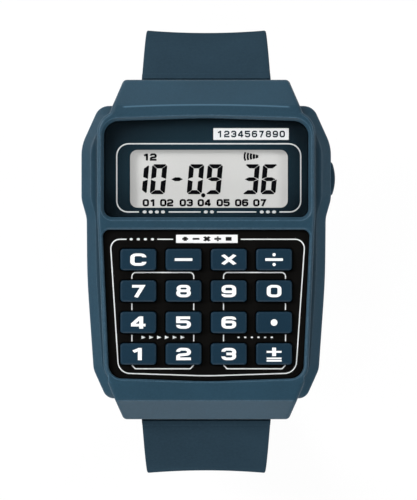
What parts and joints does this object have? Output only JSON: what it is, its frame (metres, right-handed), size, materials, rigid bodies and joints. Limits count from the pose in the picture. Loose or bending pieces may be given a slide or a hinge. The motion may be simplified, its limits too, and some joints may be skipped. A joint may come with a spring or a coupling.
{
  "type": "calculator watch",
  "caption": "Digital wristwatch with a keypad under its display, a side button, and a resin strap in two halves with a buckle.",
  "frame": {"origin": "centre of the case back's outer face", "axes": "+Z out of the display, +Y to 12 o'clock, +X to 3 o'clock"},
  "size_m": [0.0352, 0.0635, 0.0738],
  "materials": {
    "case_resin": "satin moulded resin",
    "strap_resin": "satin flexible resin",
    "key_resin": "satin with a fine grain",
    "plate_black": "semi-gloss",
    "clear_window": "polished",
    "mask_print": "printed film",
    "adhesive": "foam adhesive",
    "display_glass": "polished",
    "polariser": "film",
    "light_sheet": "smooth",
    "holder_white": "moulded",
    "module_black": "moulded",
    "silicone": "silicone rubber",
    "board_green": "lacquered board",
    "component": "potted",
    "coil_copper": "wound wire",
    "steel": "brushed",
    "spring_steel": "bright wire",
    "piezo_brass": "plain"
  },
  "bodies": {
    "watch_head": {"case_body": "case_resin", "lens": "clear_window", "lens_tape": "adhesive", "display_mask": "mask_print", "keypad_plate": "plate_black", "keypad_membrane": "silicone", "circuit_board": "board_green", "chip_cover": "component", "quartz_crystal": "steel", "light_coil": "coil_copper", "chip_capacitors": "component", "lcd_front_glass": "display_glass", "lcd_rear_glass": "display_glass", "lcd_front_polariser": "polariser", "lcd_rear_polariser": "polariser", "backlight_panel": "light_sheet", "display_holder": "holder_white", "zebra_strips": "silicone", "module_frame": "module_black", "battery": "steel", "battery_clip": "spring_steel", "buzzer_disc": "piezo_brass", "buzzer_spring": "spring_steel", "back_gasket": "silicone", "case_back": "steel", "back_screws": "steel", "pusher_seal": "silicone", "pusher_spring": "spring_steel"},
    "key_clear": {"key_clear": "key_resin"},
    "key_minus": {"key_minus": "key_resin"},
    "key_times": {"key_times": "key_resin"},
    "key_divide": {"key_divide": "key_resin"},
    "key_7": {"key_7": "key_resin"},
    "key_8": {"key_8": "key_resin"},
    "key_9": {"key_9": "key_resin"},
    "key_0": {"key_0": "key_resin"},
    "key_4": {"key_4": "key_resin"},
    "key_5": {"key_5": "key_resin"},
    "key_6": {"key_6": "key_resin"},
    "key_point": {"key_point": "key_resin"},
    "key_1": {"key_1": "key_resin"},
    "key_2": {"key_2": "key_resin"},
    "key_3": {"key_3": "key_resin"},
    "key_equals": {"key_equals": "key_resin"},
    "side_button": {"side_pusher": "case_resin", "pusher_clip": "spring_steel"},
    "short_strap": {"strap_buckle_side": "strap_resin", "upper_bar_tube": "steel", "upper_bar_spring": "spring_steel"},
    "long_strap": {"strap_hole_side": "strap_resin", "lower_bar_tube": "steel", "lower_bar_spring": "spring_steel"},
    "upper_bar_tip_right": {"upper_bar_tip_right": "steel"},
    "upper_bar_tip_left": {"upper_bar_tip_left": "steel"},
    "lower_bar_tip_right": {"lower_bar_tip_right": "steel"},
    "lower_bar_tip_left": {"lower_bar_tip_left": "steel"},
    "keeper": {"keeper": "strap_resin"},
    "buckle": {"buckle_frame": "steel", "buckle_bar": "steel"},
    "tongue": {"buckle_tongue": "steel"}
  },
  "joints": [
    {"name": "key_clear_press", "type": "slide", "parent": "watch_head", "child": "key_clear", "axis": [0, 0, -1], "range_m": [0, 0.0006], "stiffness_N_per_m": 800, "springref_m": -0.0004, "deforming": ["keypad_membrane"]},
    {"name": "key_minus_press", "type": "slide", "parent": "watch_head", "child": "key_minus", "axis": [0, 0, -1], "range_m": [0, 0.0006], "stiffness_N_per_m": 800, "springref_m": -0.0004, "deforming": ["keypad_membrane"]},
    {"name": "key_times_press", "type": "slide", "parent": "watch_head", "child": "key_times", "axis": [0, 0, -1], "range_m": [0, 0.0006], "stiffness_N_per_m": 800, "springref_m": -0.0004, "deforming": ["keypad_membrane"]},
    {"name": "key_divide_press", "type": "slide", "parent": "watch_head", "child": "key_divide", "axis": [0, 0, -1], "range_m": [0, 0.0006], "stiffness_N_per_m": 800, "springref_m": -0.0004, "deforming": ["keypad_membrane"]},
    {"name": "key_7_press", "type": "slide", "parent": "watch_head", "child": "key_7", "axis": [0, 0, -1], "range_m": [0, 0.0006], "stiffness_N_per_m": 800, "springref_m": -0.0004, "deforming": ["keypad_membrane"]},
    {"name": "key_8_press", "type": "slide", "parent": "watch_head", "child": "key_8", "axis": [0, 0, -1], "range_m": [0, 0.0006], "stiffness_N_per_m": 800, "springref_m": -0.0004, "deforming": ["keypad_membrane"]},
    {"name": "key_9_press", "type": "slide", "parent": "watch_head", "child": "key_9", "axis": [0, 0, -1], "range_m": [0, 0.0006], "stiffness_N_per_m": 800, "springref_m": -0.0004, "deforming": ["keypad_membrane"]},
    {"name": "key_0_press", "type": "slide", "parent": "watch_head", "child": "key_0", "axis": [0, 0, -1], "range_m": [0, 0.0006], "stiffness_N_per_m": 800, "springref_m": -0.0004, "deforming": ["keypad_membrane"]},
    {"name": "key_4_press", "type": "slide", "parent": "watch_head", "child": "key_4", "axis": [0, 0, -1], "range_m": [0, 0.0006], "stiffness_N_per_m": 800, "springref_m": -0.0004, "deforming": ["keypad_membrane"]},
    {"name": "key_5_press", "type": "slide", "parent": "watch_head", "child": "key_5", "axis": [0, 0, -1], "range_m": [0, 0.0006], "stiffness_N_per_m": 800, "springref_m": -0.0004, "deforming": ["keypad_membrane"]},
    {"name": "key_6_press", "type": "slide", "parent": "watch_head", "child": "key_6", "axis": [0, 0, -1], "range_m": [0, 0.0006], "stiffness_N_per_m": 800, "springref_m": -0.0004, "deforming": ["keypad_membrane"]},
    {"name": "key_point_press", "type": "slide", "parent": "watch_head", "child": "key_point", "axis": [0, 0, -1], "range_m": [0, 0.0006], "stiffness_N_per_m": 800, "springref_m": -0.0004, "deforming": ["keypad_membrane"]},
    {"name": "key_1_press", "type": "slide", "parent": "watch_head", "child": "key_1", "axis": [0, 0, -1], "range_m": [0, 0.0006], "stiffness_N_per_m": 800, "springref_m": -0.0004, "deforming": ["keypad_membrane"]},
    {"name": "key_2_press", "type": "slide", "parent": "watch_head", "child": "key_2", "axis": [0, 0, -1], "range_m": [0, 0.0006], "stiffness_N_per_m": 800, "springref_m": -0.0004, "deforming": ["keypad_membrane"]},
    {"name": "key_3_press", "type": "slide", "parent": "watch_head", "child": "key_3", "axis": [0, 0, -1], "range_m": [0, 0.0006], "stiffness_N_per_m": 800, "springref_m": -0.0004, "deforming": ["keypad_membrane"]},
    {"name": "key_equals_press", "type": "slide", "parent": "watch_head", "child": "key_equals", "axis": [0, 0, -1], "range_m": [0, 0.0006], "stiffness_N_per_m": 800, "springref_m": -0.0004, "deforming": ["keypad_membrane"]},
    {"name": "side_button_press", "type": "slide", "parent": "watch_head", "child": "side_button", "axis": [-1, 0, 0], "range_m": [0, 0.0005], "stiffness_N_per_m": 900, "springref_m": -0.0004, "deforming": ["pusher_spring"]},
    {"name": "short_strap_hinge", "type": "hinge", "parent": "watch_head", "child": "short_strap", "pos_m": [0, 0.0208, 0.0032], "axis": [1, 0, 0], "range_deg": [-12, 15]},
    {"name": "long_strap_hinge", "type": "hinge", "parent": "watch_head", "child": "long_strap", "pos_m": [0, -0.0208, 0.0032], "axis": [-1, 0, 0], "range_deg": [-5, 15]},
    {"name": "upper_bar_tip_right_slide", "type": "slide", "parent": "short_strap", "child": "upper_bar_tip_right", "axis": [-1, 0, 0], "range_m": [0, 0.00105], "stiffness_N_per_m": 500, "springref_m": -0.0006, "deforming": ["upper_bar_spring"]},
    {"name": "upper_bar_tip_left_slide", "type": "slide", "parent": "short_strap", "child": "upper_bar_tip_left", "axis": [1, 0, 0], "range_m": [0, 0.00105], "stiffness_N_per_m": 500, "springref_m": -0.0006, "deforming": ["upper_bar_spring"]},
    {"name": "lower_bar_tip_right_slide", "type": "slide", "parent": "long_strap", "child": "lower_bar_tip_right", "axis": [-1, 0, 0], "range_m": [0, 0.00105], "stiffness_N_per_m": 500, "springref_m": -0.0006, "deforming": ["lower_bar_spring"]},
    {"name": "lower_bar_tip_left_slide", "type": "slide", "parent": "long_strap", "child": "lower_bar_tip_left", "axis": [1, 0, 0], "range_m": [0, 0.00105], "stiffness_N_per_m": 500, "springref_m": -0.0006, "deforming": ["lower_bar_spring"]},
    {"name": "keeper_slip", "type": "hinge", "parent": "short_strap", "child": "keeper", "pos_m": [0, -0.0058, -0.00914], "axis": [1, 0, 0], "range_deg": [-22, 10]},
    {"name": "buckle_hinge", "type": "hinge", "parent": "short_strap", "child": "buckle", "pos_m": [0, -0.00017, -0.0447], "axis": [1, 0, 0], "range_deg": [-20, 25]},
    {"name": "tongue_hinge", "type": "hinge", "parent": "buckle", "child": "tongue", "pos_m": [0, -0.00017, -0.0447], "axis": [1, 0, 0], "range_deg": [0, 100]}
  ]
}
